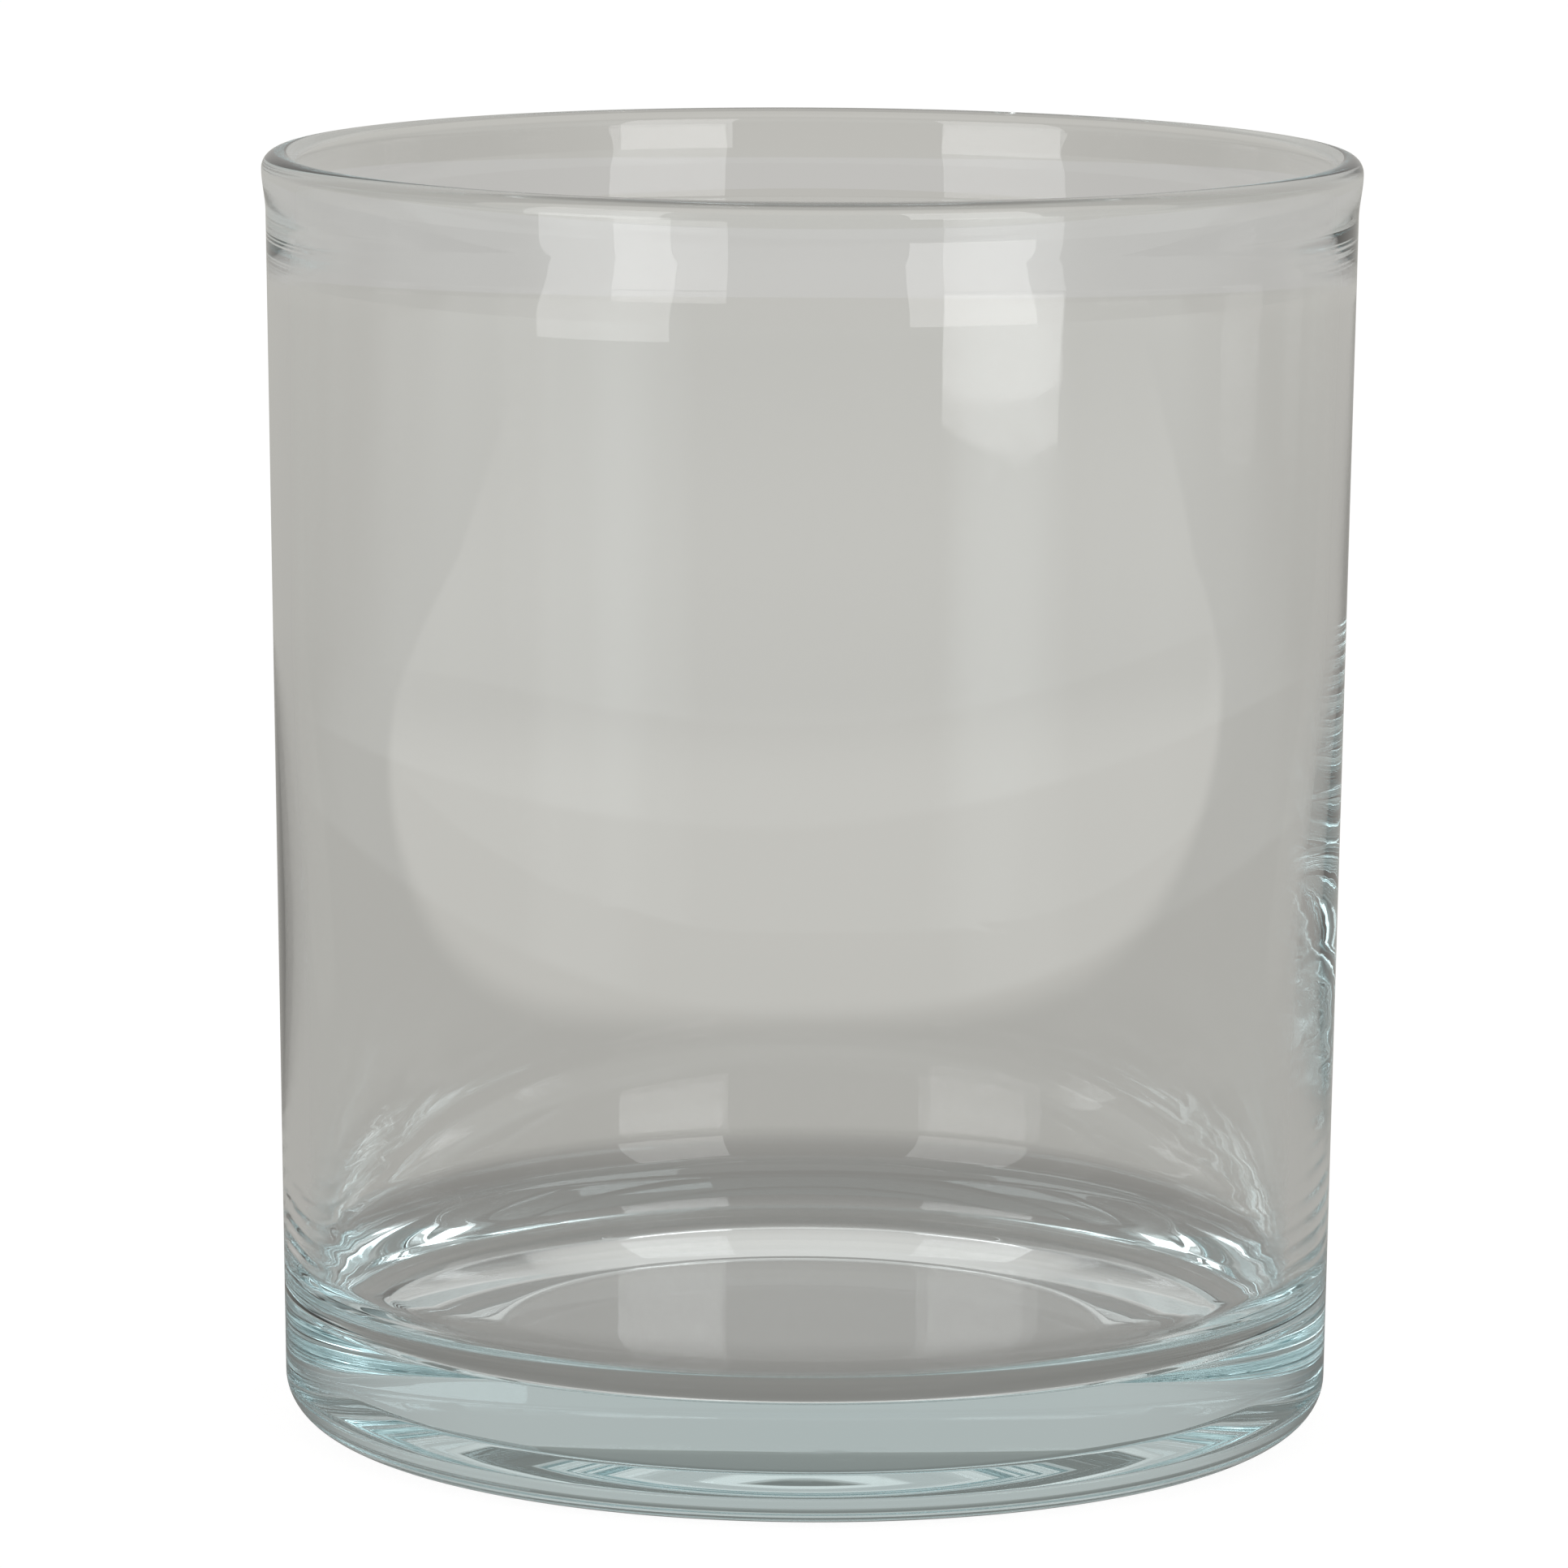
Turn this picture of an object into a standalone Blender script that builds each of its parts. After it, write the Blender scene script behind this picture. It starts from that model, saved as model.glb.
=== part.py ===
"""Clear glass cylinder vase, for cut flowers: one piece of moulded glass.

Metres, +Z up. The origin is on the axis, in the plane of the standing ring that the vase rests on.
The glass is turned from one profile: floor, inner corner, inner wall, rim, outer wall, heel and
the recessed underside.
"""

import math

import bpy

# Outside
HEIGHT = 0.120
BASE_DIAMETER = 0.0986
RIM_DIAMETER = 0.1026

# Rim: a rounded bead, a little proud of the wall outside and inside
RIM_THICKNESS = 0.0030
RIM_STAND_OUT = 0.0004
RIM_FADE = 0.0042
BEAD_FADE = 0.0100

# Wall: thin at the top, eased over the swell into the thick wall above the inner corner
UPPER_WALL = 0.0018
LOWER_WALL = 0.0032
THICK_HEIGHT = 0.0080
SWELL_HEIGHT = 0.052

# Base
FLOOR_THICKNESS = 0.0104
INNER_CORNER_WIDTH = 0.0076
INNER_CORNER_HEIGHT = 0.0068
HEEL_WIDTH = 0.0050
HEEL_HEIGHT = 0.0045

# Underside: a narrow standing ring, a slope up from it and the flat of the recess
STANDING_WIDTH = 0.0015
RECESS_RADIUS = 0.0278
RECESS_DEPTH = 0.0026
RECESS_ROUNDING = 0.0010

# Fineness of the turned shape
TURN_STEPS = 72
CURVE_STEPS = 6
MERGE_DISTANCE = 0.00001

# Where the stretches meet
LIP_RADIUS = RIM_THICKNESS / 2
LIP_HEIGHT = HEIGHT - LIP_RADIUS
WALL_TOP = LIP_HEIGHT - RIM_FADE
BEAD_FOOT = LIP_HEIGHT - BEAD_FADE
CORNER_TOP = FLOOR_THICKNESS + INNER_CORNER_HEIGHT
SWELL_FOOT = CORNER_TOP + THICK_HEIGHT
RING_OUTER_RADIUS = BASE_DIAMETER / 2 - HEEL_WIDTH
RING_INNER_RADIUS = RING_OUTER_RADIUS - STANDING_WIDTH
SLOPE_WIDTH = RING_INNER_RADIUS - RECESS_RADIUS


def ease(share):
    """A smooth step from 0 to 1, level at both ends."""
    return share * share * (3 - 2 * share)


def shares(steps):
    """The even shares of a stretch, from the first step to its end."""
    return [step / steps for step in range(1, steps + 1)]


def outer_radius(height):
    """The outside of the glass from the heel to the lip: a straight taper, then the bead."""
    rise = (min(height, WALL_TOP) - HEEL_HEIGHT) / (WALL_TOP - HEEL_HEIGHT)
    wall_top_radius = RIM_DIAMETER / 2 - RIM_STAND_OUT
    radius = BASE_DIAMETER / 2 + (wall_top_radius - BASE_DIAMETER / 2) * rise
    if height > WALL_TOP:
        radius += RIM_STAND_OUT * ease((height - WALL_TOP) / RIM_FADE)
    return radius


def wall_thickness(height):
    """The glass between the inner corner and the lip: thick below, thin, then the bead."""
    if height > BEAD_FOOT:
        return UPPER_WALL + (RIM_THICKNESS - UPPER_WALL) * ease((height - BEAD_FOOT) / BEAD_FADE)
    rise = (height - SWELL_FOOT) / SWELL_HEIGHT
    return LOWER_WALL + (UPPER_WALL - LOWER_WALL) * ease(min(max(rise, 0.0), 1.0))


def arc(centre, width, height, start, end, steps):
    """Points of an elliptical arc, without its first point. Angles are in degrees from +X."""
    points = []
    for share in shares(steps):
        angle = math.radians(start + (end - start) * share)
        points.append((centre[0] + width * math.cos(angle), centre[1] + height * math.sin(angle)))
    return points


def inner_wall_point(height):
    """A point of the inner wall, as radius and height."""
    return outer_radius(height) - wall_thickness(height), height


def floor_and_corner():
    """The flat floor from the axis outwards, and the inner corner up to the wall."""
    wall_radius = inner_wall_point(CORNER_TOP)[0]
    corner_centre = (wall_radius - INNER_CORNER_WIDTH, CORNER_TOP)
    floor = [(0.0, FLOOR_THICKNESS), (corner_centre[0], FLOOR_THICKNESS)]
    return floor + arc(corner_centre, INNER_CORNER_WIDTH, INNER_CORNER_HEIGHT, -90, 0, CURVE_STEPS)


def inner_wall():
    """The inner wall, upwards: the thick stretch, the swell, the thin stretch and the bead."""
    swell = [inner_wall_point(SWELL_FOOT)]
    swell += [inner_wall_point(SWELL_FOOT + SWELL_HEIGHT * share) for share in shares(CURVE_STEPS)]
    bead = [inner_wall_point(BEAD_FOOT + BEAD_FADE * share) for share in shares(2 * CURVE_STEPS)]
    return swell + [inner_wall_point(BEAD_FOOT)] + bead


def lip():
    """The rounded top of the rim, from the inside to the outside."""
    centre = (RIM_DIAMETER / 2 - LIP_RADIUS, LIP_HEIGHT)
    return arc(centre, LIP_RADIUS, LIP_RADIUS, 180, 0, 2 * CURVE_STEPS)


def outer_wall_and_heel():
    """The outside, downwards: the bead, the tapered wall and the rounded heel."""
    bead_heights = [LIP_HEIGHT - RIM_FADE * share for share in shares(CURVE_STEPS)]
    bead = [(outer_radius(height), height) for height in bead_heights]
    heel_top = (BASE_DIAMETER / 2, HEEL_HEIGHT)
    heel_centre = (RING_OUTER_RADIUS, HEEL_HEIGHT)
    return bead + [heel_top] + arc(heel_centre, HEEL_WIDTH, HEEL_HEIGHT, 0, -90, CURVE_STEPS)


def slope_height(along):
    """The height of the recess's slope, straight and rounded at both ends, from its foot inwards."""
    gradient = RECESS_DEPTH / (SLOPE_WIDTH - RECESS_ROUNDING)
    if along < RECESS_ROUNDING:
        return gradient * along ** 2 / (2 * RECESS_ROUNDING)
    if along > SLOPE_WIDTH - RECESS_ROUNDING:
        return RECESS_DEPTH - gradient * (SLOPE_WIDTH - along) ** 2 / (2 * RECESS_ROUNDING)
    return gradient * (along - RECESS_ROUNDING / 2)


def underside():
    """The standing ring's flat face, the slope up from it and the flat of the recess."""
    half_bend = RECESS_ROUNDING / 2
    stops = [0.0, half_bend, RECESS_ROUNDING]
    stops += [SLOPE_WIDTH - RECESS_ROUNDING, SLOPE_WIDTH - half_bend, SLOPE_WIDTH]
    slope = [(RING_INNER_RADIUS - along, slope_height(along)) for along in stops]
    return slope + [(0.0, RECESS_DEPTH)]


def clear_glass():
    """Clear soda-lime glass with a faint blue-green tint."""
    material = bpy.data.materials.new("clear_glass")
    material.use_nodes = True
    shader = material.node_tree.nodes["Principled BSDF"]
    shader.inputs["Base Color"].default_value = (0.84, 0.93, 0.93, 1.0)
    shader.inputs["Roughness"].default_value = 0.02
    shader.inputs["Metallic"].default_value = 0.0
    shader.inputs["IOR"].default_value = 1.52
    shader.inputs["Transmission Weight"].default_value = 1.0
    return material


def glass_vessel():
    """The vase: its profile, turned about the axis."""
    profile = floor_and_corner() + inner_wall() + lip() + outer_wall_and_heel() + underside()
    mesh = bpy.data.meshes.new("glass_vessel")
    vertices = [(radius, 0.0, height) for radius, height in profile]
    edges = [(index, index + 1) for index in range(len(profile) - 1)]
    mesh.from_pydata(vertices, edges, [])
    vessel = bpy.data.objects.new("glass_vessel", mesh)
    bpy.context.collection.objects.link(vessel)
    turn = vessel.modifiers.new("turn", "SCREW")
    turn.axis = "Z"
    turn.steps = TURN_STEPS
    turn.render_steps = TURN_STEPS
    turn.use_merge_vertices = True
    turn.merge_threshold = MERGE_DISTANCE
    turn.use_smooth_shade = True
    mesh.materials.append(clear_glass())
    return vessel


def clear_scene():
    """Remove the objects that a new file starts with."""
    for item in list(bpy.data.objects):
        bpy.data.objects.remove(item)


clear_scene()
glass_vessel()
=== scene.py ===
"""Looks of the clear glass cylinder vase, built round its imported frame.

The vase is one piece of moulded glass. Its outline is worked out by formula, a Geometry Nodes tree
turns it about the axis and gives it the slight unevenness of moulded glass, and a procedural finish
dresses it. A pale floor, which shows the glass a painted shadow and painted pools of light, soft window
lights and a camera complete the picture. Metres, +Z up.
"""

import logging
import math
from dataclasses import dataclass, field
from enum import Enum
from typing import NamedTuple

import bmesh
import bpy
from mathutils import Matrix, Vector


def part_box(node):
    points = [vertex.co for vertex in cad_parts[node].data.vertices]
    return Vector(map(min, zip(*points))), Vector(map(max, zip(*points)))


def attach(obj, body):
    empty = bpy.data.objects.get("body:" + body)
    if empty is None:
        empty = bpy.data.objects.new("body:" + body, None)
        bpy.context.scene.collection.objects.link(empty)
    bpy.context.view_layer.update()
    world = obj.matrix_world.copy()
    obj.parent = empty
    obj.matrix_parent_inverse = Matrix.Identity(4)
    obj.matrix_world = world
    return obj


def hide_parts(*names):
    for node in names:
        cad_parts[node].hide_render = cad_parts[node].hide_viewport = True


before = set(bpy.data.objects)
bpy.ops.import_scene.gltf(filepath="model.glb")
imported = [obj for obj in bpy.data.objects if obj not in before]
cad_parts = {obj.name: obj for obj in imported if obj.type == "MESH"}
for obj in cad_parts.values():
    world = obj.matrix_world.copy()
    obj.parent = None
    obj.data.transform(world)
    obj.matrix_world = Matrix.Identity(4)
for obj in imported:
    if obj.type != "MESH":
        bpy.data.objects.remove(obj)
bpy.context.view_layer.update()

LOG = logging.getLogger("vase")
NODE = "glass_vessel"
BODY = "root"
SLOT = "clear_glass"
MM = 0.001
BORE = "bore"
MIX_SHARE, MIX_FIRST, MIX_SECOND, MIX_RESULT = 0, 6, 7, 2
WHITE = (1.0, 1.0, 1.0)

Socket = bpy.types.NodeSocket
Colour = tuple[float, float, float]
Place = tuple[float, float, float]
Span = tuple[float, float]


# Small helpers ----------------------------------------------------------------------------------


class Tree:
    """Adds nodes to one node tree and links them, so that a tree reads as a formula."""

    def __init__(self, nodes: bpy.types.NodeTree) -> None:
        """Keep the tree that the nodes go into.

        Args:
            nodes: The shader or geometry node tree to fill.
        """
        self.nodes = nodes

    def add(self, kind: str, settings: dict[str, object] | None = None, **inputs: object) -> bpy.types.Node:
        """Add a node.

        Args:
            kind: The node's type.
            settings: Properties of the node itself, set before its inputs.
            **inputs: Values or sockets by input name, with _ for a space.

        Returns:
            The new node.
        """
        node = self.nodes.nodes.new(kind)
        for name, value in (settings or {}).items():
            setattr(node, name, value)
        for name, value in inputs.items():
            self.feed(node.inputs[name.replace("_", " ")], value)
        return node

    def feed(self, target: Socket, value: object) -> None:
        """Link a socket to an input, or set the input's own value."""
        if isinstance(value, Socket):
            self.nodes.links.new(value, target)
        else:
            target.default_value = value

    def number(self, operation: str, *values: object) -> Socket:
        """Work out a number with a Math node.

        Args:
            operation: The Math node's operation.
            *values: Numbers or sockets, in the order of the node's inputs.

        Returns:
            The result's socket.
        """
        node = self.add("ShaderNodeMath", {"operation": operation})
        for socket, value in zip(node.inputs, values):
            self.feed(socket, value)
        return node.outputs[0]

    def whole(self, operation: str, first: object, second: object) -> Socket:
        """Work out a whole number with an Integer Math node."""
        node = self.add("FunctionNodeIntegerMath", {"operation": operation})
        self.feed(node.inputs[0], first)
        self.feed(node.inputs[1], second)
        return node.outputs[0]

    def vector(self, operation: str, *values: object) -> Socket:
        """Work out a vector with a Vector Math node."""
        node = self.add("ShaderNodeVectorMath", {"operation": operation})
        targets = [node.inputs["Scale"] if operation == "SCALE" and i == 1 else node.inputs[i]
                   for i in range(len(values))]
        for socket, value in zip(targets, values):
            self.feed(socket, value)
        return node.outputs[0]

    def measure(self, operation: str, first: object, second: object) -> Socket:
        """Work out a number from two vectors, such as their distance."""
        node = self.add("ShaderNodeVectorMath", {"operation": operation})
        self.feed(node.inputs[0], first)
        self.feed(node.inputs[1], second)
        return node.outputs["Value"]

    def mix(self, share: object, first: object, second: object) -> Socket:
        """Mix two colours.

        Args:
            share: How much of the second colour shows.
            first: The colour at a share of 0.
            second: The colour at a share of 1.

        Returns:
            The mixed colour's socket.
        """
        node = self.add("ShaderNodeMix", {"data_type": "RGBA"})
        self.feed(node.inputs[MIX_SHARE], share)
        self.feed(node.inputs[MIX_FIRST], first)
        self.feed(node.inputs[MIX_SECOND], second)
        return node.outputs[MIX_RESULT]

    def blend(self, value: object, low: object, high: object, at_low: object, at_high: object) -> Socket:
        """Map a value smoothly from one range to another, held at both ends.

        Args:
            value: The number to map.
            low: Where the map starts.
            high: Where the map ends.
            at_low: The result up to the start.
            at_high: The result past the end.

        Returns:
            The mapped number's socket.
        """
        node = self.add("ShaderNodeMapRange", {"interpolation_type": "SMOOTHSTEP"}, Value=value,
                        From_Min=low, From_Max=high, To_Min=at_low, To_Max=at_high)
        return node.outputs[0]

    def noise(self, place: object, scale: float, detail: float = 2.0, offset: Place = (0, 0, 0)) -> Socket:
        """A smooth noise, centred on zero, at a place.

        Args:
            place: The coordinates' socket.
            scale: Waves to the metre.
            detail: Octaves of finer noise.
            offset: A shift of the place, so that two noises differ.

        Returns:
            The noise's socket, from about -0.5 to 0.5.
        """
        moved = self.vector("ADD", place, offset)
        node = self.add("ShaderNodeTexNoise", Vector=moved, Scale=scale, Detail=detail)
        return self.number("SUBTRACT", node.outputs[0], 0.5)


def ease(share: float) -> float:
    """A smooth step from 0 to 1, level at both ends."""
    return share * share * (3 - 2 * share)


def shares(steps: int) -> list[float]:
    """The even shares of a stretch, from its first step to its end."""
    return [step / steps for step in range(1, steps + 1)]


# The vessel --------------------------------------------------------------------------------------


class Side(Enum):
    """Which face of the glass a stretch of the outline belongs to."""

    INSIDE = 1.0
    OUTSIDE = 0.0


class OutlinePoint(NamedTuple):
    """A point of the outline: its radius, its height and how far it follows the cavity."""

    radius: float
    height: float
    bore: float


@dataclass
class VesselOutline:
    """The vase's outline from the floor's centre, up the inside, over the rim and down the outside."""

    height: float
    rim_radius: float
    base_radius: float = 49.3 * MM
    rim_thickness: float = 3.0 * MM
    rim_stand_out: float = 0.4 * MM
    rim_fade: float = 4.2 * MM
    bead_fade: float = 10.0 * MM
    upper_wall: float = 1.8 * MM
    lower_wall: float = 3.2 * MM
    thick_height: float = 8.0 * MM
    swell_height: float = 52.0 * MM
    floor_thickness: float = 10.4 * MM
    corner_width: float = 7.6 * MM
    corner_height: float = 6.8 * MM
    heel_width: float = 5.0 * MM
    heel_height: float = 4.5 * MM
    standing_width: float = 1.5 * MM
    recess_radius: float = 27.8 * MM
    recess_depth: float = 2.6 * MM
    recess_rounding: float = 1.0 * MM
    curve_steps: int = 16
    wall_steps: int = 96
    wall_crowding: float = 1.5

    @property
    def lip_radius(self) -> float:
        """The rounding of the rim's top."""
        return self.rim_thickness / 2

    @property
    def lip_height(self) -> float:
        """The height where the rim's rounding starts."""
        return self.height - self.lip_radius

    @property
    def wall_top(self) -> float:
        """The height where the bead starts to stand out."""
        return self.lip_height - self.rim_fade

    @property
    def bead_foot(self) -> float:
        """The height where the wall starts to thicken into the bead, on the inside."""
        return self.lip_height - self.bead_fade

    @property
    def corner_top(self) -> float:
        """The height where the inner corner meets the wall."""
        return self.floor_thickness + self.corner_height

    def outer_radius(self, height: float) -> float:
        """The outside from the heel to the lip: a straight taper, then the bead."""
        rise = (min(height, self.wall_top) - self.heel_height) / (self.wall_top - self.heel_height)
        top = self.rim_radius - self.rim_stand_out
        radius = self.base_radius + (top - self.base_radius) * rise
        if height > self.wall_top:
            radius += self.rim_stand_out * ease((height - self.wall_top) / self.rim_fade)
        return radius

    def wall(self, height: float) -> float:
        """The glass between the inner corner and the lip: swollen below, thin, then the bead."""
        if height > self.bead_foot:
            gain = self.rim_thickness - self.upper_wall
            return self.upper_wall + gain * ease((height - self.bead_foot) / self.bead_fade)
        rise = (height - self.corner_top - self.thick_height) / self.swell_height
        return self.lower_wall + (self.upper_wall - self.lower_wall) * ease(min(max(rise, 0.0), 1.0))

    def arc(self, centre: tuple[float, float], width: float, height: float, start: float, end: float,
            steps: int) -> list[tuple[float, float]]:
        """Points of an elliptical arc, without its first.

        Args:
            centre: The arc's centre, as radius and height.
            width: Its half width.
            height: Its half height.
            start: The first angle, in degrees from outwards.
            end: The last angle.
            steps: How many points.

        Returns:
            The points, as radius and height.
        """
        turns = [math.radians(start + (end - start) * share) for share in shares(steps)]
        return [(centre[0] + width * math.cos(turn), centre[1] + height * math.sin(turn)) for turn in turns]

    def inside(self) -> list[tuple[float, float]]:
        """The floor, the inner corner, the wall and the inside of the bead, upwards."""
        flat = self.outer_radius(self.corner_top) - self.wall(self.corner_top) - self.corner_width
        points = [(0.0, self.floor_thickness)]
        points += [(flat * share, self.floor_thickness) for share in shares(self.curve_steps)]
        centre = (flat, self.corner_top)
        points += self.arc(centre, self.corner_width, self.corner_height, -90, 0, 2 * self.curve_steps)
        # rows crowd towards the corner, where the moulding ripples are
        rise = self.wall_top - self.corner_top
        heights = [self.corner_top + rise * share ** self.wall_crowding for share in shares(self.wall_steps)]
        heights += [self.wall_top + self.rim_fade * share for share in shares(self.curve_steps)]
        return points + [(self.outer_radius(z) - self.wall(z), z) for z in heights]

    def lip(self) -> list[tuple[float, float]]:
        """The rounded top of the rim, from the inside to the outside."""
        centre = (self.rim_radius - self.lip_radius, self.lip_height)
        return self.arc(centre, self.lip_radius, self.lip_radius, 180, 0, 2 * self.curve_steps)

    def outside(self) -> list[tuple[float, float]]:
        """The bead, the tapered wall, the heel and the underside, downwards to the axis."""
        heights = [self.lip_height - self.rim_fade * share for share in shares(self.curve_steps)]
        drop = self.wall_top - self.heel_height
        heights += [self.wall_top - drop * share for share in shares(self.curve_steps)]
        points = [(self.outer_radius(z), z) for z in heights]
        centre = (self.base_radius - self.heel_width, self.heel_height)
        points += self.arc(centre, self.heel_width, self.heel_height, 0, -90, self.curve_steps)
        return points + self.underside()

    def underside(self) -> list[tuple[float, float]]:
        """The standing ring, the slope up from it and the flat of the recess."""
        foot = self.base_radius - self.heel_width - self.standing_width
        reach = foot - self.recess_radius
        points = [(foot, 0.0)]
        for share in shares(self.curve_steps * 2):
            points.append((foot - reach * share, self.slope_height(reach * share, reach)))
        flat = [(self.recess_radius * (1 - share), self.recess_depth) for share in shares(self.curve_steps)]
        return points + flat

    def slope_height(self, along: float, reach: float) -> float:
        """The height of the slope of the recess: straight, and rounded at both ends.

        Args:
            along: The distance from the slope's foot.
            reach: The slope's whole width.

        Returns:
            The height above the standing ring.
        """
        bend = self.recess_rounding
        gradient = self.recess_depth / (reach - bend)
        if along < bend:
            return gradient * along ** 2 / (2 * bend)
        if along > reach - bend:
            return self.recess_depth - gradient * (reach - along) ** 2 / (2 * bend)
        return gradient * (along - bend / 2)

    def points(self) -> list[OutlinePoint]:
        """The whole outline, in order, with how far each point follows the cavity."""
        lip = self.lip()
        fade = [OutlinePoint(*point, ease(1 - (i + 1) / len(lip))) for i, point in enumerate(lip)]
        inside = [OutlinePoint(*point, Side.INSIDE.value) for point in self.inside()]
        outside = [OutlinePoint(*point, Side.OUTSIDE.value) for point in self.outside()]
        return inside + fade + outside


@dataclass
class TurnedGlass:
    """A Geometry Nodes tree that turns an outline about +Z and makes it slightly uneven."""

    steps_around: int = 288
    lean_low: float = -0.45 * MM
    lean_high: float = 0.25 * MM
    ripple_height: float = 0.05 * MM
    ripple_calm: float = 0.0
    ripple_pitch: float = 2.1 * MM
    ripple_top: float = 34.0 * MM
    drift_height: float = 0.04 * MM
    seed: int = 7
    merge_distance: float = 0.002 * MM
    seed_stride: float = 0.37
    sway_start: float = 0.75
    drift_scale: float = 32.0
    bend_scale: float = 38.0
    bend_shift: Place = (0.3, 0, 0)
    bend_turn: float = 26.0
    patch_scale: float = 45.0
    patch_shift: Place = (0, 0.4, 0)
    patch_edge: Span = (-0.16, 0.16)
    patch_least: float = 0.15
    sides: Span = (0.80, 0.98)

    def sockets(self, outline: VesselOutline, finish: bpy.types.Material) -> list[tuple[str, str, object]]:
        """The tree's named inputs: name, socket type and the value for this vase.

        Args:
            outline: The vessel's outline, for the heights that the marks follow.
            finish: The glass.

        Returns:
            One entry for each input.
        """
        return [
            ("Steps Around", "NodeSocketInt", self.steps_around),
            ("Corner Top", "NodeSocketFloat", outline.corner_top),
            ("Wall Top", "NodeSocketFloat", outline.wall_top),
            ("Lean Low", "NodeSocketFloat", self.lean_low),
            ("Lean High", "NodeSocketFloat", self.lean_high),
            ("Ripple Height", "NodeSocketFloat", self.ripple_height),
            ("Ripple Calm", "NodeSocketFloat", self.ripple_calm),
            ("Ripple Pitch", "NodeSocketFloat", self.ripple_pitch),
            ("Ripple Top", "NodeSocketFloat", self.ripple_top),
            ("Drift Height", "NodeSocketFloat", self.drift_height),
            ("Seed", "NodeSocketInt", self.seed),
            ("Merge Distance", "NodeSocketFloat", self.merge_distance),
            ("Finish", "NodeSocketMaterial", finish),
        ]

    def build(self, inputs: list[tuple[str, str, object]]) -> bpy.types.NodeTree:
        """Make the tree.

        Args:
            inputs: The named inputs from sockets().

        Returns:
            The geometry node tree.
        """
        group = bpy.data.node_groups.new("turned_glass", "GeometryNodeTree")
        group.interface.new_socket("Geometry", in_out="INPUT", socket_type="NodeSocketGeometry")
        for name, kind, _ in inputs:
            group.interface.new_socket(name, in_out="INPUT", socket_type=kind)
        group.interface.new_socket("Geometry", in_out="OUTPUT", socket_type="NodeSocketGeometry")
        tree = Tree(group)
        given = tree.add("NodeGroupInput").outputs
        turned, bore = self.turn(tree, given)
        uneven = self.unevenness(tree, given, bore)
        placed = tree.add("GeometryNodeSetPosition", Geometry=turned, Offset=uneven).outputs[0]
        merged = tree.add("GeometryNodeMergeByDistance", Geometry=placed,
                          Distance=given["Merge Distance"]).outputs[0]
        smooth = tree.add("GeometryNodeSetShadeSmooth", Geometry=merged).outputs[0]
        real = tree.add("GeometryNodeRealizeInstances", Geometry=smooth).outputs[0]
        dressed = tree.add("GeometryNodeSetMaterial", Geometry=real, Material=given["Finish"]).outputs[0]
        tree.add("NodeGroupOutput", Geometry=dressed)
        return group

    def turn(self, tree: Tree, given: bpy.types.NodeOutputs) -> tuple[Socket, Socket]:
        """Turn the outline: a grid of one column for each step, every row at its outline point.

        Args:
            tree: The tree being built.
            given: The group's inputs.

        Returns:
            The turned mesh, and how far each point follows the cavity.
        """
        size = tree.add("GeometryNodeAttributeDomainSize", Geometry=given["Geometry"])
        count = size.outputs["Point Count"]
        columns = tree.whole("ADD", given["Steps Around"], 1)
        grid = tree.add("GeometryNodeMeshGrid", Vertices_X=columns, Vertices_Y=count).outputs["Mesh"]
        index = tree.add("GeometryNodeInputIndex").outputs[0]
        row = tree.whole("MODULO", index, count)
        column = tree.whole("DIVIDE_FLOOR", index, count)
        place = tree.add("GeometryNodeInputPosition").outputs[0]
        point = self.sample(tree, given["Geometry"], "FLOAT_VECTOR", place, row)
        weight = tree.add("GeometryNodeInputNamedAttribute", {"data_type": "FLOAT"}, Name=BORE).outputs[0]
        follow = self.sample(tree, given["Geometry"], "FLOAT", weight, row)
        share = tree.number("DIVIDE", column, given["Steps Around"])
        angle = tree.number("MULTIPLY", share, math.tau)
        spun = tree.add("ShaderNodeVectorRotate", {"rotation_type": "Z_AXIS"}, Vector=point, Angle=angle)
        shaped = tree.add("GeometryNodeSetPosition", Geometry=grid, Position=spun.outputs[0]).outputs[0]
        stored = tree.add("GeometryNodeStoreNamedAttribute", {"data_type": "FLOAT", "domain": "POINT"},
                          Geometry=shaped, Name=BORE, Value=follow).outputs[0]
        kept = tree.add("GeometryNodeInputNamedAttribute", {"data_type": "FLOAT"}, Name=BORE).outputs[0]
        return stored, kept

    def sample(self, tree: Tree, source: Socket, kind: str, value: Socket, index: Socket) -> Socket:
        """Read a value of the outline at an index."""
        node = tree.add("GeometryNodeSampleIndex", {"data_type": kind, "domain": "POINT"},
                        Geometry=source, Value=value, Index=index)
        return node.outputs[0]

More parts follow.
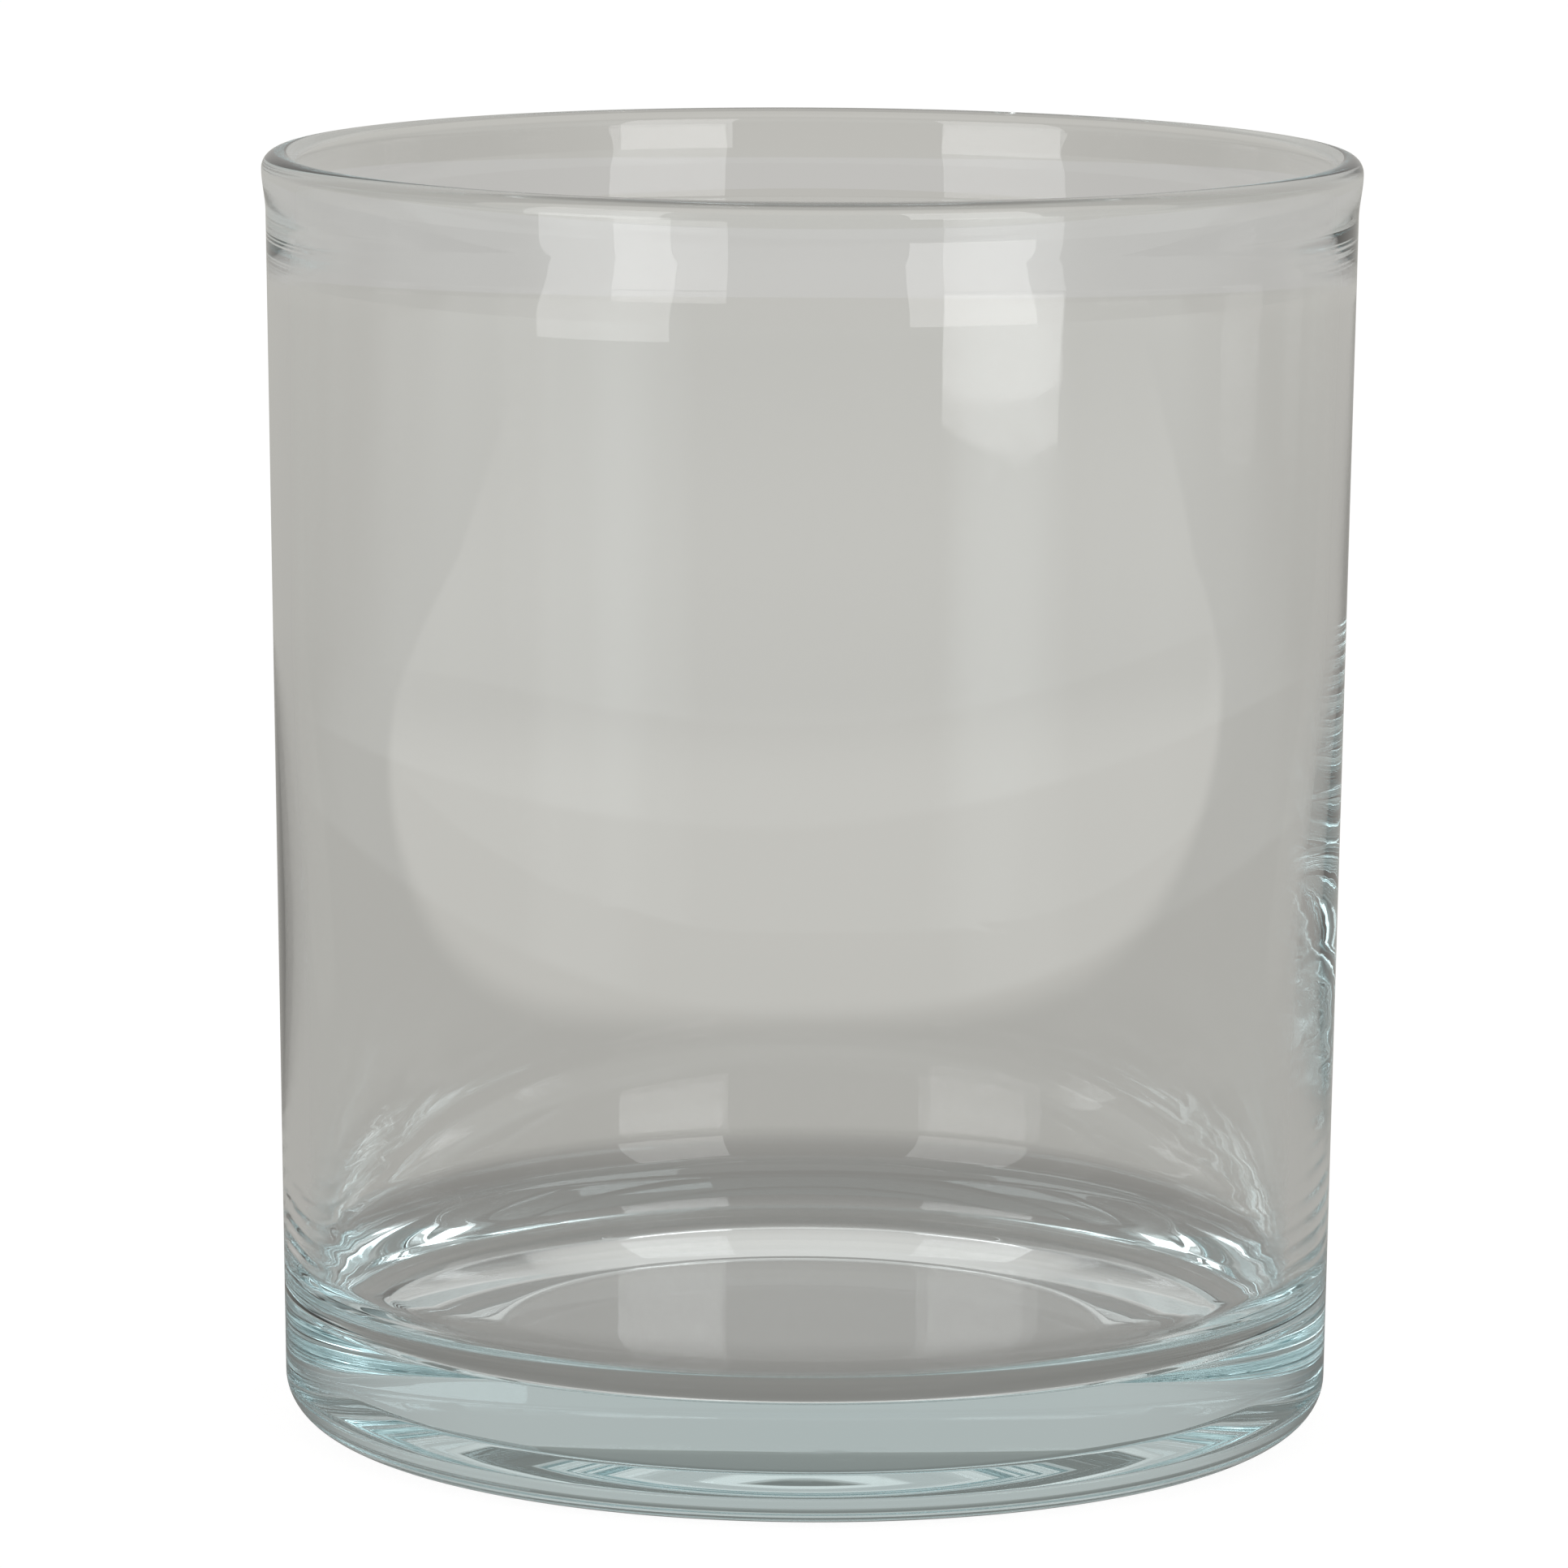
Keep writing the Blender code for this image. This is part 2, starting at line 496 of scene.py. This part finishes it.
    def unevenness(self, tree: Tree, given: bpy.types.NodeOutputs, bore: Socket) -> Socket:
        """The cavity's lean, the slow drift of its wall and the ripples above the inner corner.

        Args:
            tree: The tree being built.
            given: The group's inputs.
            bore: How far each point follows the cavity.

        Returns:
            The offset of each point.
        """
        place = tree.add("GeometryNodeInputPosition").outputs[0]
        height = tree.add("ShaderNodeSeparateXYZ", Vector=place).outputs[2]
        seed = tree.number("MULTIPLY", given["Seed"], self.seed_stride)
        shift = tree.add("ShaderNodeCombineXYZ", X=seed, Z=seed).outputs[0]
        sown = tree.vector("ADD", place, shift)
        lean = tree.blend(height, given["Corner Top"], given["Wall Top"], given["Lean Low"],
                          given["Lean High"])
        leaning = tree.add("ShaderNodeCombineXYZ", X=tree.number("MULTIPLY", lean, bore)).outputs[0]
        drift = tree.number("MULTIPLY", tree.noise(sown, self.drift_scale, 1.0), given["Drift Height"])
        outwards = tree.vector("NORMALIZE", tree.vector("MULTIPLY", place, (1, 1, 0)))
        ripple = self.ripples(tree, given, sown, outwards, height)
        climb = tree.number("MULTIPLY", given["Corner Top"], self.sway_start)
        walls = tree.blend(height, climb, given["Corner Top"], 0.0, 1.0)
        sway = tree.number("MULTIPLY", tree.number("ADD", drift, ripple), walls)
        swaying = tree.vector("SCALE", outwards, tree.number("MULTIPLY", sway, bore))
        return tree.vector("ADD", leaning, swaying)

    def ripples(self, tree: Tree, given: bpy.types.NodeOutputs, sown: Socket, outwards: Socket,
                height: Socket) -> Socket:
        """Fine level waves at the two sides of the lower wall, broken up and fading upwards.

        Args:
            tree: The tree being built.
            given: The group's inputs.
            sown: The seeded coordinates.
            outwards: The direction from the axis.
            height: The height of each point.

        Returns:
            The waves' height.
        """
        bend = tree.noise(sown, self.bend_scale, 1.0, self.bend_shift)
        phase = tree.number("MULTIPLY", bend, self.bend_turn)
        turns = tree.number("MULTIPLY", tree.number("DIVIDE", height, given["Ripple Pitch"]), math.tau)
        wave = tree.number("SINE", tree.number("ADD", turns, phase))
        cover = tree.noise(sown, self.patch_scale, 2.0, self.patch_shift)
        patch = tree.blend(cover, *self.patch_edge, self.patch_least, 1.0)
        fade = tree.blend(height, given["Corner Top"], given["Ripple Top"], 1.0, 0.0)
        aside = tree.number("ABSOLUTE", tree.add("ShaderNodeSeparateXYZ", Vector=outwards).outputs[0])
        sides = tree.blend(aside, *self.sides, given["Ripple Calm"], 1.0)
        worn = tree.number("MULTIPLY", tree.number("MULTIPLY", patch, fade), sides)
        size = tree.number("MULTIPLY", worn, given["Ripple Height"])
        return tree.number("MULTIPLY", wave, size)


@dataclass
class Vessel:
    """The glass body of the vase, which stands for its frame node."""

    outline: VesselOutline
    turned: TurnedGlass = field(default_factory=TurnedGlass)
    name: str = "vessel_glass"

    def outline_mesh(self) -> bpy.types.Mesh:
        """The outline as a mesh of points and edges, each point with its hold on the cavity."""
        points = self.outline.points()
        mesh = bpy.data.meshes.new("vessel_outline")
        edges = [(i, i + 1) for i in range(len(points) - 1)]
        mesh.from_pydata([(point.radius, 0.0, point.height) for point in points], edges, [])
        weights = mesh.attributes.new(BORE, "FLOAT", "POINT")
        weights.data.foreach_set("value", [point.bore for point in points])
        return mesh

    def build(self, finish: bpy.types.Material) -> bpy.types.Object:
        """Turn the outline and hand the piece to the frame.

        Args:
            finish: The glass.

        Returns:
            The finished piece.
        """
        source = bpy.data.objects.new("vessel_outline", self.outline_mesh())
        bpy.context.collection.objects.link(source)
        inputs = self.turned.sockets(self.outline, finish)
        modifier = source.modifiers.new("turned_glass", "NODES")
        modifier.node_group = self.turned.build(inputs)
        keys = {item.name: item.identifier for item in modifier.node_group.interface.items_tree
                if item.in_out == "INPUT"}
        for name, _, value in inputs:
            modifier[keys[name]] = value
        piece = self.plain(source)
        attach(piece, BODY)
        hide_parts(NODE)
        return piece

    def plain(self, source: bpy.types.Object) -> bpy.types.Object:
        """Keep the tree's result as a plain mesh and remove its source.

        Args:
            source: The outline object with its modifier.

        Returns:
            The piece, with its faces outwards.
        """
        graph = bpy.context.evaluated_depsgraph_get()
        mesh = bpy.data.meshes.new_from_object(source.evaluated_get(graph))
        mesh.name = self.name
        bpy.data.objects.remove(source)
        shape = bmesh.new()
        shape.from_mesh(mesh)
        bmesh.ops.dissolve_degenerate(shape, dist=self.turned.merge_distance / 2, edges=shape.edges)
        if shape.calc_volume(signed=True) < 0:
            bmesh.ops.reverse_faces(shape, faces=shape.faces)
        shape.to_mesh(mesh)
        shape.free()
        piece = bpy.data.objects.new(self.name, mesh)
        bpy.context.collection.objects.link(piece)
        return piece


# Finishes ----------------------------------------------------------------------------------------


@dataclass(frozen=True)
class SurfaceMarks:
    """A shader node group: the specks, wiping smears and faint relief of used glass."""

    name: str = "surface_marks"
    speck_cells: float = 60.0
    speck_edge: Span = (0.010, 0.016)
    swipe: Place = (1.0, 1.0, 0.35)
    smear_scale: float = 26.0
    smear_edge: Span = (0.06, 0.24)
    streak_scale: float = 420.0
    streak_shift: Place = (0.2, 0.1, 0)
    streak_edge: Span = (-0.05, 0.2)
    streak_least: float = 0.2
    slow_scale: float = 70.0
    slow_shift: Place = (0.1, 0.6, 0)
    fine_scale: float = 240.0
    fine_shift: Place = (0.7, 0, 0.2)
    fine_share: float = 0.25

    def build(self) -> bpy.types.NodeTree:
        """Make the group.

        Returns:
            The group, which puts out a tint, a haze and a relief.
        """
        group = bpy.data.node_groups.new(self.name, "ShaderNodeTree")
        for name, kind, value in (
            ("Clean Tint", "NodeSocketColor", (*WHITE, 1.0)),
            ("Speck Tint", "NodeSocketColor", (0.05, 0.05, 0.05, 1.0)),
            ("Speck Share", "NodeSocketFloat", 0.1),
            ("Clean Roughness", "NodeSocketFloat", 0.0),
            ("Smear Roughness", "NodeSocketFloat", 0.08),
            ("Relief", "NodeSocketFloat", 1.0),
        ):
            socket = group.interface.new_socket(name, in_out="INPUT", socket_type=kind)
            socket.default_value = value
        for name, kind in (("Tint", "NodeSocketColor"), ("Haze", "NodeSocketFloat"),
                           ("Height", "NodeSocketFloat")):
            group.interface.new_socket(name, in_out="OUTPUT", socket_type=kind)
        tree = Tree(group)
        given = tree.add("NodeGroupInput").outputs
        place = tree.add("ShaderNodeTexCoord").outputs["Object"]
        tree.add("NodeGroupOutput", Tint=self.tint(tree, given, place), Haze=self.haze(tree, given, place),
                 Height=self.relief(tree, given, place))
        return group

    def tint(self, tree: Tree, given: bpy.types.NodeOutputs, place: Socket) -> Socket:
        """Clean glass with a few tiny dark specks in it."""
        cells = tree.add("ShaderNodeTexVoronoi", {"feature": "F1"}, Vector=place, Scale=self.speck_cells)
        draw = tree.add("ShaderNodeSeparateXYZ", Vector=cells.outputs["Color"]).outputs[0]
        chosen = tree.number("LESS_THAN", draw, given["Speck Share"])
        dot = tree.blend(cells.outputs["Distance"], *self.speck_edge, 1.0, 0.0)
        speck = tree.number("MULTIPLY", dot, chosen)
        return tree.mix(speck, given["Clean Tint"], given["Speck Tint"])

    def haze(self, tree: Tree, given: bpy.types.NodeOutputs, place: Socket) -> Socket:
        """Faint wiping smears that make the glass a little duller."""
        swept = tree.vector("MULTIPLY", place, self.swipe)
        broad = tree.blend(tree.noise(swept, self.smear_scale, 3.0), *self.smear_edge, 0.0, 1.0)
        streaks = tree.noise(swept, self.streak_scale, 2.0, self.streak_shift)
        fine = tree.blend(streaks, *self.streak_edge, self.streak_least, 1.0)
        smear = tree.number("MULTIPLY", broad, fine)
        gain = tree.number("SUBTRACT", given["Smear Roughness"], given["Clean Roughness"])
        return tree.number("ADD", tree.number("MULTIPLY", smear, gain), given["Clean Roughness"])

    def relief(self, tree: Tree, given: bpy.types.NodeOutputs, place: Socket) -> Socket:
        """The slight waviness of moulded glass, finer than the mesh holds."""
        slow = tree.noise(place, self.slow_scale, 1.0, self.slow_shift)
        waves = tree.noise(place, self.fine_scale, 1.0, self.fine_shift)
        fine = tree.number("MULTIPLY", waves, self.fine_share)
        return tree.number("MULTIPLY", tree.number("ADD", slow, fine), given["Relief"])


@dataclass(frozen=True)
class ClearGlass:
    """Clear soda-lime glass with a faint blue-green tint that deepens with its thickness."""

    tint: Colour = (0.62, 0.86, 0.90)
    tint_density: float = 6.5
    refraction: float = 1.52
    speck_share: float = 0.035
    relief_height: float = 0.003 * MM

    def build(self) -> bpy.types.Material:
        """Make the material.

        Returns:
            The glass.
        """
        material = bpy.data.materials.new(SLOT)
        material.use_nodes = True
        tree = Tree(material.node_tree)
        shader = material.node_tree.nodes["Principled BSDF"]
        output = material.node_tree.nodes["Material Output"]
        shader.inputs["Metallic"].default_value = 0.0
        shader.inputs["Transmission Weight"].default_value = 1.0
        shader.inputs["IOR"].default_value = self.refraction
        marks = tree.add("ShaderNodeGroup", {"node_tree": SurfaceMarks().build()},
                         Speck_Share=self.speck_share)
        bump = tree.add("ShaderNodeBump", Strength=1.0, Distance=self.relief_height,
                        Height=marks.outputs["Height"])
        tree.feed(shader.inputs["Base Color"], marks.outputs["Tint"])
        tree.feed(shader.inputs["Roughness"], marks.outputs["Haze"])
        tree.feed(shader.inputs["Normal"], bump.outputs[0])
        depth = tree.add("ShaderNodeVolumeAbsorption", Color=(*self.tint, 1.0), Density=self.tint_density)
        tree.feed(output.inputs["Volume"], depth.outputs[0])
        return material


@dataclass(frozen=True)
class StudioFloor:
    """A pale table top: white to the eye, and to what the glass bends a grey emission with painted light.

    It paints the vase's shadow round its foot as a darker tone, a paler patch lies behind it, the table ends
    in a round edge in front, and past the edge lies a brighter room with a painted pool of light below each
    window.
    """

    seen: Colour = (0.93, 0.93, 0.93)
    seen_shade: float = 0.14
    table: Colour = (0.428, 0.420, 0.395)
    far_gain: float = 0.15
    far_reach: Span = (0.1, 1.2)
    patch_middle: float = 0.80
    patch_half_width: float = 0.082
    patch_half_length: float = 0.634
    patch_rim: Span = (0.88, 1.0)
    patch_near_gain: float = 0.14
    patch_near_reach: Span = (0.30, 0.42)
    patch_far_gain: float = 0.11
    patch_far_reach: Span = (0.55, 1.0)
    # painted shadow: the table's tone darkens round the vase's foot, in what the glass shows
    painted_foot_shade: float = 0.50
    foot_centre: Place = (0.0, 0.015, 0.0)
    foot_reach: Span = (0.048, 0.115)
    room: Colour = (0.36, 0.39, 0.39)
    room_reach: Span = (0.0, 0.3)
    edge_centre: Place = (0.0, 0.07, 0.0)
    edge_radius: float = 0.334
    edge_blur: float = 0.01
    # painted pools of light on the floor below the windows, in what the glass shows
    pool_bearings: Span = (-45.0, 41.0)
    pool_half_width: float = 15.0
    painted_pool_gain: float = 0.9

    def build(self) -> bpy.types.Material:
        """Make the material.

        Returns:
            The floor's finish.
        """
        material = bpy.data.materials.new("studio_floor")
        material.use_nodes = True
        tree = Tree(material.node_tree)
        material.node_tree.nodes.remove(material.node_tree.nodes["Principled BSDF"])
        output = material.node_tree.nodes["Material Output"]
        place = tree.add("ShaderNodeTexCoord").outputs["Object"]
        # to what the glass bends the floor is an emission: a painted lit table with painted shadow and
        # painted pools of light
        painted_glow = tree.add("ShaderNodeEmission", Color=self.mirrored(tree, place))
        pale = tree.add("ShaderNodeEmission", Color=(*self.seen, 1.0))
        shade = tree.add("ShaderNodeBsdfDiffuse", Color=(self.seen_shade,) * 3 + (1.0,))
        seen = tree.add("ShaderNodeAddShader")
        tree.feed(seen.inputs[0], pale.outputs[0])
        tree.feed(seen.inputs[1], shade.outputs[0])
        choose = tree.add("ShaderNodeMixShader")
        tree.feed(choose.inputs[0], tree.add("ShaderNodeLightPath").outputs["Is Camera Ray"])
        tree.feed(choose.inputs[1], painted_glow.outputs[0])
        tree.feed(choose.inputs[2], seen.outputs[0])
        tree.feed(output.inputs["Surface"], choose.outputs[0])
        return material

    def mirrored(self, tree: Tree, place: Socket) -> Socket:
        """The colours that the glass shows of the table, with its painted shadow round the foot,
        and of the room past its edge, with painted pools of light.

        Args:
            tree: The tree being built.
            place: The place on the floor.

        Returns:
            The colour's socket.
        """
        across, along = tree.add("ShaderNodeSeparateXYZ", Vector=place).outputs[:2]
        foot = tree.measure("DISTANCE", place, self.foot_centre)
        # painted shadow round the vase's foot
        shade = tree.blend(foot, *self.foot_reach, self.painted_foot_shade, 1.0)
        far = tree.blend(along, *self.far_reach, 1.0, 1.0 + self.far_gain)
        tone = tree.number("ADD", far, self.patch(tree, across, along))
        table = tree.vector("SCALE", self.table, tree.number("MULTIPLY", shade, tone))
        edge = tree.measure("DISTANCE", place, self.edge_centre)
        past = tree.blend(edge, self.edge_radius, self.edge_radius + self.edge_blur, 0.0, 1.0)
        ahead = tree.blend(along, *self.room_reach, 1.0, 0.0)
        # painted pools of light below the windows
        painted_pools = tree.number("ADD", *(self.painted_pool(tree, place, bearing) for bearing in self.pool_bearings))
        gain = tree.number("MULTIPLY", tree.number("MULTIPLY", past, ahead), tree.number("ADD", painted_pools, 1.0))
        room = tree.vector("SCALE", self.room, gain)
        return tree.vector("ADD", table, room)

    def patch(self, tree: Tree, across: Socket, along: Socket) -> Socket:
        """A paler patch of table behind the vase, with rounded corners, that fades away backwards.

        Args:
            tree: The tree being built.
            across: The place on the floor, from left to right.
            along: The place on the floor, from front to back.

        Returns:
            The socket of what the patch adds to the table's tone.
        """
        powers = []
        offset = tree.number("SUBTRACT", along, self.patch_middle)
        for way, half in ((across, self.patch_half_width), (offset, self.patch_half_length)):
            square = tree.number("POWER", tree.number("DIVIDE", way, half), 2.0)
            powers.append(tree.number("MULTIPLY", square, square))
        inside = tree.blend(tree.number("ADD", *powers), *self.patch_rim, 1.0, 0.0)
        near = tree.blend(along, *self.patch_near_reach, self.patch_near_gain, 0.0)
        far = tree.blend(along, *self.patch_far_reach, self.patch_far_gain, 0.0)
        return tree.number("MULTIPLY", inside, tree.number("ADD", near, far))

    def painted_pool(self, tree: Tree, place: Socket, bearing: float) -> Socket:
        """A painted pool of light on the floor below a window, a soft ray from the vase towards it.

        Args:
            tree: The tree being built.
            place: The place on the floor.
            bearing: The window's bearing, in degrees to the right of straight in front.

        Returns:
            The socket of the pool's gain.
        """
        turn = math.radians(bearing)
        rim = math.cos(math.radians(self.pool_half_width))
        along = tree.measure("DOT_PRODUCT", tree.vector("NORMALIZE", place),
                             (math.sin(turn), -math.cos(turn), 0.0))
        return tree.blend(along, rim, 1.0, 0.0, self.painted_pool_gain)


# Studio ------------------------------------------------------------------------------------------


@dataclass(frozen=True)
class WindowLight:
    """A soft rectangular light that stands upright and faces the vase.

    Its bearing is in degrees to the right of straight in front, and its power in watts.
    """

    name: str
    bearing: float
    distance: float
    width: float
    bottom: float
    top: float
    power: float
    colour: Colour = WHITE

    def build(self) -> bpy.types.Object:
        """Place the light.

        Returns:
            The light's object.
        """
        lamp = bpy.data.lights.new(self.name, "AREA")
        lamp.shape = "RECTANGLE"
        lamp.size = self.width
        lamp.size_y = self.top - self.bottom
        lamp.energy = self.power
        lamp.color = self.colour
        item = bpy.data.objects.new(self.name, lamp)
        bpy.context.collection.objects.link(item)
        turn = math.radians(self.bearing)
        away = Vector((math.sin(turn), -math.cos(turn), 0.0))
        item.location = away * self.distance + Vector((0, 0, (self.top + self.bottom) / 2))
        item.rotation_euler = away.to_track_quat("Z", "Y").to_euler()
        item.visible_camera = False
        return item


@dataclass
class Studio:
    """The floor, the soft surroundings and the window lights."""

    floor_size: float = 24.0
    floor_gap: float = 0.15 * MM
    room_tint: Colour = (1.0, 0.985, 0.95)
    room_light: float = 0.16
    front_light: float = 0.6
    front_reach: Span = (-0.9, -0.2)
    back_light: float = 0.37
    back_reach: Span = (0.2, 0.9)
    above_light: float = 0.35
    above_reach: Span = (0.2, 0.8)
    lights: tuple[WindowLight, ...] = (
        WindowLight("window_right", bearing=33.0, distance=0.95, width=0.46, bottom=0.10, top=0.80,
                    power=2.3),
        WindowLight("window_left", bearing=-45.0, distance=0.95, width=0.50, bottom=0.003, top=0.75,
                    power=2.3),
    )

    def build(self) -> None:
        """Make the studio."""
        self.floor()
        self.surroundings()
        for light in self.lights:
            light.build()
            LOG.info("light %s", light.name)

    def floor(self) -> bpy.types.Object:
        """Lay the floor just under the vase.

        Returns:
            The floor.
        """
        half = self.floor_size / 2
        mesh = bpy.data.meshes.new("studio_floor")
        corners = [(-half, -half), (half, -half), (half, half), (-half, half)]
        mesh.from_pydata([(x, y, -self.floor_gap) for x, y in corners], [], [(0, 1, 2, 3)])
        mesh.materials.append(StudioFloor().build())
        floor = bpy.data.objects.new("studio_floor", mesh)
        bpy.context.collection.objects.link(floor)
        return floor

    def surroundings(self) -> bpy.types.World:
        """A soft room: white to the eye, but to the glass bright in front and dim at the sides.

        Returns:
            The world.
        """
        world = bpy.data.worlds.new("studio")
        bpy.context.scene.world = world
        world.use_nodes = True
        tree = Tree(world.node_tree)
        background = world.node_tree.nodes["Background"]
        ray = tree.add("ShaderNodeLightPath").outputs
        way = tree.add("ShaderNodeTexCoord").outputs["Generated"]
        axes = tree.add("ShaderNodeSeparateXYZ", Vector=way).outputs
        front = tree.blend(axes[1], *self.front_reach, self.front_light, 0.0)
        back = tree.blend(axes[1], *self.back_reach, 0.0, self.back_light)
        above = tree.blend(axes[2], *self.above_reach, 0.0, self.above_light)
        ends = tree.number("ADD", front, back)
        light = tree.number("ADD", ends, tree.number("ADD", above, self.room_light))
        warm = tree.vector("SCALE", self.room_tint, light)
        tree.feed(background.inputs["Color"], tree.mix(ray["Is Camera Ray"], warm, (*WHITE, 1.0)))
        return world


@dataclass(frozen=True)
class ProductCamera:
    """A long lens a little above the rim, turned down to the vase. Angles are in degrees."""

    distance: float = 0.8307
    height: float = 0.1931
    pitch: float = 9.08
    roll: float = 0.34
    aside: float = 0.159
    lens: float = 204.97
    sensor: float = 36.0

    def build(self) -> bpy.types.Object:
        """Place the camera and make it the scene's.

        Returns:
            The camera's object.
        """
        data = bpy.data.cameras.new("product_camera")
        data.lens = self.lens
        data.sensor_width = self.sensor
        data.clip_start = 0.01
        data.clip_end = 100.0
        camera = bpy.data.objects.new("product_camera", data)
        bpy.context.collection.objects.link(camera)
        place = Matrix.Translation((0.0, -self.distance, self.height))
        aside = Matrix.Rotation(math.radians(self.aside), 4, "Z")
        tilt = Matrix.Rotation(math.radians(90.0 - self.pitch), 4, "X")
        roll = Matrix.Rotation(math.radians(self.roll), 4, "Z")
        camera.matrix_world = place @ aside @ tilt @ roll
        bpy.context.scene.camera = camera
        return camera


def light_paths(bounces: int = 40) -> None:
    """Let light cross the thick glass often enough that its edges aren't black.

    Args:
        bounces: The most surfaces that a path of light may meet.
    """
    scene = bpy.context.scene
    scene.view_settings.view_transform = "Standard"
    scene.cycles.max_bounces = bounces
    scene.cycles.glossy_bounces = bounces
    scene.cycles.transmission_bounces = bounces
    scene.cycles.transparent_max_bounces = bounces


def main() -> None:
    """Build the camera, the vase and the studio, in that order."""
    logging.basicConfig(level=logging.INFO, format="%(message)s")
    ProductCamera().build()
    light_paths()
    low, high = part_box(NODE)
    outline = VesselOutline(height=high.z - low.z, rim_radius=(high.x - low.x) / 2)
    glass = Vessel(outline).build(ClearGlass().build())
    LOG.info("%s: %d faces", glass.name, len(glass.data.polygons))
    Studio().build()


if __name__ == "__main__":
    main()
